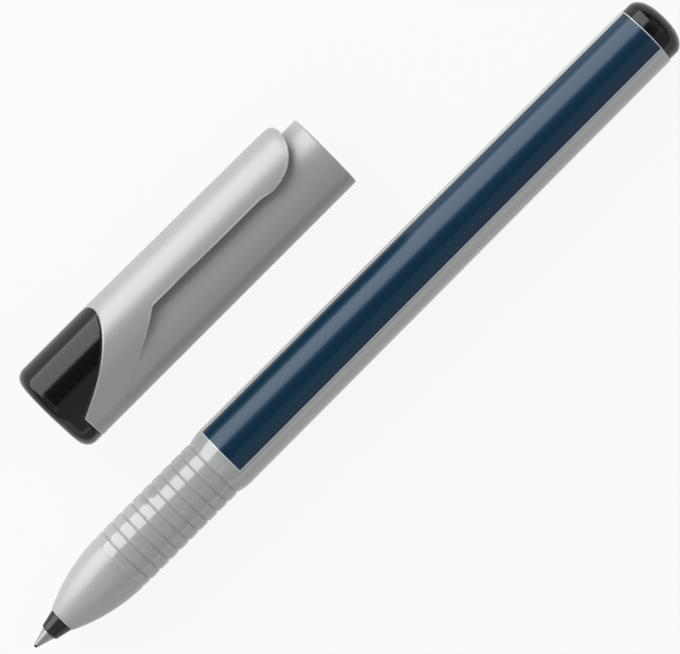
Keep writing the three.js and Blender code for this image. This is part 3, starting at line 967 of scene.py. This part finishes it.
def surface_net(distance, low, high, cell):
    """Quad mesh of the surface where a distance is 0, with its vertices on it and their normals"""
    # Step for slopes, pull towards a cell's middle, and how the vertices settle on the surface
    probe = cell / 20
    pull = 0.03
    settling_steps = 3
    least_slope = 0.25
    counts = np.ceil((high - low) / cell).astype(int) + 1
    ticks = [low[i] + cell * np.arange(counts[i]) for i in range(3)]
    grid = np.stack(np.meshgrid(*ticks, indexing="ij"), -1)
    values = distance(grid.reshape(-1, 3)).reshape(counts)
    loops = []
    crossings = []
    for axis in range(3):
        first = [slice(1, -1)] * 3
        second = [slice(1, -1)] * 3
        first[axis] = slice(0, -1)
        second[axis] = slice(1, None)
        start, end = values[tuple(first)], values[tuple(second)]
        spots = np.argwhere((start < 0) != (end < 0))
        a = start[tuple(spots.T)]
        b = end[tuple(spots.T)]
        spots += 1
        spots[:, axis] -= 1
        points = low + spots * cell
        points[:, axis] += cell * a / (a - b)
        cells = []
        for back_u, back_v in ((1, 1), (0, 1), (0, 0), (1, 0)):
            cell_index = spots.copy()
            cell_index[:, (axis + 1) % 3] -= back_u
            cell_index[:, (axis + 2) % 3] -= back_v
            cells.append(np.ravel_multi_index(cell_index.T, counts))
        quads = np.stack(cells, 1)
        quads[a >= 0] = quads[a >= 0][:, ::-1]
        loops.append(quads)
        crossings.append(points)
    quads = np.concatenate(loops)
    points = np.concatenate(crossings)
    used, corners = np.unique(quads, return_inverse=True)
    corners = corners.reshape(quads.shape)
    share = np.bincount(corners.ravel(), minlength=len(used))

    def gathered(values):
        """Sum, for each vertex, of the values at the crossings round its cell"""
        total = np.zeros((len(used), *values.shape[1:]))
        np.add.at(total, corners, values[:, None])
        return total

    # Each vertex goes where the planes at its cell's crossings meet, held loosely to their middle
    facing = unit(slopes(distance, points, probe))
    planes = np.sum(facing * points, 1)[:, None]
    target = gathered(facing * planes) + pull * gathered(points)
    system = gathered(facing[:, :, None] * facing[:, None]) + pull * share[:, None, None] * np.eye(3)
    own_cell = low + np.stack(np.unravel_index(used, counts), 1) * cell
    vertices = np.clip(np.linalg.solve(system, target[..., None])[..., 0], own_cell, own_cell + cell)
    for _ in range(settling_steps):
        gradient = slopes(distance, vertices, probe)
        size = np.maximum(np.sum(gradient ** 2, 1), least_slope)
        move = -(distance(vertices) / size)[:, None] * gradient
        vertices += np.clip(move, -cell / 2, cell / 2)
    return vertices, corners, unit(slopes(distance, vertices, 2 * probe))


def unit(vectors):
    """Vectors at a length of 1"""
    return vectors / np.maximum(np.linalg.norm(vectors, axis=1), 1e-9)[:, None]


def cap_piece(name, distance, end, sizes, material):
    """Meshes one piece of the cap in the cap's own axes, then lays it where the frame has it"""
    margin = 2.5 * sizes.cell
    low = np.array([0, -sizes.radius, -sizes.radius]) - margin
    high = np.array([end, sizes.radius, sizes.radius + sizes.rise]) + margin
    vertices, quads, normals = surface_net(distance, low, high, sizes.cell)
    # Share of painted edge highlight at each vertex: a short way inside, an edge has its surfaces nearer
    # than a flat side has
    depth = 0.22 * MM
    contrast = 8
    edges = np.clip(contrast * (1 + distance(vertices - depth * normals) / depth), 0, 1)
    turned_over = np.array(Matrix.Rotation(-sizes.lean, 3, "X"))
    place = np.array([cap_low.x, cap_low.y + sizes.radius, sizes.radius])
    piece = meshed(name, (vertices @ turned_over.T + place).tolist(), quads.tolist(), material)
    # The finish paints a highlight along the edges from this attribute
    edge = piece.data.attributes.new("edge", "FLOAT", "POINT")
    edge.data.foreach_set("value", edges.astype(np.float32))
    piece.data.normals_split_custom_set_from_vertices((normals @ turned_over.T).tolist())
    if volume(piece.data) <= 0:
        raise RuntimeError(f"{name}: the mesh is inside out")
    return piece


class MARKER_OT_cap(bpy.types.Operator):
    """Shapes the grey cap shell with its clip and the black insert in its end"""
    bl_idname = "marker.cap"
    bl_label = "Cap"

    def execute(self, context):
        sizes = context.scene.marker_cap
        finishes = context.scene.marker_finishes
        pieces = (
            ("cap_shell", shell_distance, CAP_LENGTH, cap_finish(finishes), "cap_plastic"),
            ("cap_insert", insert_distance, sizes.cup_end, black_finish(finishes), "insert_plastic"),
        )
        for node, distance, end, finish, slot in pieces:
            piece = cap_piece(node, partial(distance, sizes=sizes), end, sizes, finish)
            finish_piece(piece, "cap", [node])
        return {"FINISHED"}


# Studio

def floor_finish(studio):
    """Board lit from below: white to the eye and in gloss, with the object's faint shadow on it"""
    material, tree = new_material("backlit_white_board")
    path = add(tree, "ShaderNodeLightPath").outputs
    seen = path["Is Camera Ray"]
    for ray in ("Is Glossy Ray", "Is Transmission Ray"):
        seen = add(tree, "ShaderNodeMath", {0: seen, 1: path[ray]}, operation="MAXIMUM")
    share = add(tree, "ShaderNodeMath", {0: seen, 1: studio.backlight}, operation="MULTIPLY")
    board = add(tree, "ShaderNodeBsdfDiffuse", {"Color": (*studio.floor, 1)})
    glow = add(tree, "ShaderNodeEmission", {"Color": (1, 1, 1, 1), "Strength": 1.0})
    mixed = add(tree, "ShaderNodeMixShader", {0: share, 1: board, 2: glow})
    add(tree, "ShaderNodeOutputMaterial", {"Surface": mixed})
    return material


def softbox(name, radiance, long_side, across, place, turn_x, turn_y):
    """Area light one metre from the pen, aimed at it"""
    data = bpy.data.lights.new(name, "AREA")
    data.shape = "RECTANGLE"
    data.size = long_side
    data.size_y = across
    data.energy = radiance * math.pi * data.size * data.size_y
    lamp = new_object(name, data)
    lamp.location = (place[0], PEN_AXIS[0] + place[1], PEN_AXIS[1] + place[2])
    lamp.rotation_euler = (turn_x, turn_y, 0)
    lamp.visible_camera = False


def side_softbox(name, radiance, front, rear, start, end):
    """Softbox along the pen that fills the sky from one angle to another, measured from straight up to +Y"""
    middle = (start + end) / 2
    across = 2 * math.tan((end - start) / 2)
    place = ((front + rear) / 2, math.sin(middle), math.cos(middle))
    softbox(name, radiance, rear - front, across, place, -middle, 0)


def end_softbox(name, radiance, side, height):
    """Square softbox off one end of the pen, at an angle over the horizon"""
    size = 1.0
    place = (side * math.cos(height), 0, math.sin(height))
    softbox(name, radiance, size, size, place, 0, side * (math.pi / 2 - height))


def room(sky, horizon):
    """World that is dark overhead and pale along the horizon"""
    world = bpy.data.worlds.new("studio_room")
    world.use_nodes = True
    tree = world.node_tree
    tree.nodes.clear()
    way = add(tree, "ShaderNodeSeparateXYZ", {0: add(tree, "ShaderNodeTexCoord").outputs["Generated"]})
    pale_up_to, dark_from = math.radians(6), math.radians(14)
    level = add(tree, "ShaderNodeMapRange", {
        "Value": way.outputs["Z"], "From Min": math.sin(pale_up_to), "From Max": math.sin(dark_from),
        "To Min": horizon, "To Max": sky})
    back = add(tree, "ShaderNodeBackground", {"Color": level, "Strength": 1.0})
    add(tree, "ShaderNodeOutputWorld", {"Surface": back})
    bpy.context.scene.world = world


def overhead_camera(studio):
    """Camera straight over the pen, turned so that the pen rises to the right"""
    data = bpy.data.cameras.new("overhead_camera")
    data.sensor_width = 36
    data.lens = data.sensor_width * studio.camera_height / studio.frame_width
    data.clip_start = 0.01
    camera = new_object("overhead_camera", data)
    camera.location = (studio.camera_x, studio.camera_y, PEN_AXIS[1] + studio.camera_height)
    camera.rotation_euler = (0, 0, -studio.roll)
    bpy.context.scene.camera = camera


class MARKER_OT_studio(bpy.types.Operator):
    """Sets the floor, the lamps, the room and the camera"""
    bl_idname = "marker.studio"
    bl_label = "Studio"

    def execute(self, context):
        studio = context.scene.marker_studio
        # The board reaches twelve metres each way and lies a hair under the object
        half = 12.0
        below = -0.02 * MM
        corners = [(x, y, below) for x, y in ((-half, -half), (half, -half), (half, half), (-half, half))]
        floor = meshed("floor", corners, [[0, 1, 2, 3]], floor_finish(studio))
        side_softbox(
            "key_softbox", studio.key, -studio.key_front, studio.key_rear, studio.key_start, studio.key_end)
        side_softbox(
            "fill_softbox", studio.fill, -studio.fill_reach, studio.fill_reach,
            studio.fill_start, studio.fill_end)
        end_softbox("front_softbox", studio.ends, -1, studio.ends_height)
        end_softbox("rear_softbox", studio.ends, 1, studio.ends_height)
        room(studio.sky, studio.horizon)
        overhead_camera(studio)
        context.scene.view_settings.view_transform = "Standard"
        return {"FINISHED"}


OPERATORS = (
    MARKER_OT_studio, MARKER_OT_barrel, MARKER_OT_end_plug, MARKER_OT_tip, MARKER_OT_ink, MARKER_OT_cap)


class MARKER_PT_panel(bpy.types.Panel):
    """Lists the marker's operators and their settings"""
    bl_label = "Marker"
    bl_idname = "MARKER_PT_panel"
    bl_space_type = "VIEW_3D"
    bl_region_type = "UI"
    bl_category = "Marker"

    def draw(self, context):
        for operator in OPERATORS:
            self.layout.operator(operator.bl_idname)
        for group in GROUPS:
            box = self.layout.box()
            settings = getattr(context.scene, group)
            for name in settings.__annotations__:
                box.prop(settings, name)


def register():
    for name, group in GROUPS.items():
        bpy.utils.register_class(group)
        setattr(bpy.types.Scene, name, bpy.props.PointerProperty(type=group))
    for item in (*OPERATORS, MARKER_PT_panel):
        bpy.utils.register_class(item)


def unregister():
    for item in (MARKER_PT_panel, *reversed(OPERATORS)):
        bpy.utils.unregister_class(item)
    for name, group in reversed(GROUPS.items()):
        delattr(bpy.types.Scene, name)
        bpy.utils.unregister_class(group)


def main():
    """Registers the add-on and builds each piece"""
    register()
    bpy.ops.marker.studio()
    bpy.ops.marker.barrel()
    bpy.ops.marker.end_plug()
    bpy.ops.marker.tip()
    bpy.ops.marker.ink()
    bpy.ops.marker.cap()


if __name__ == "__main__":
    main()
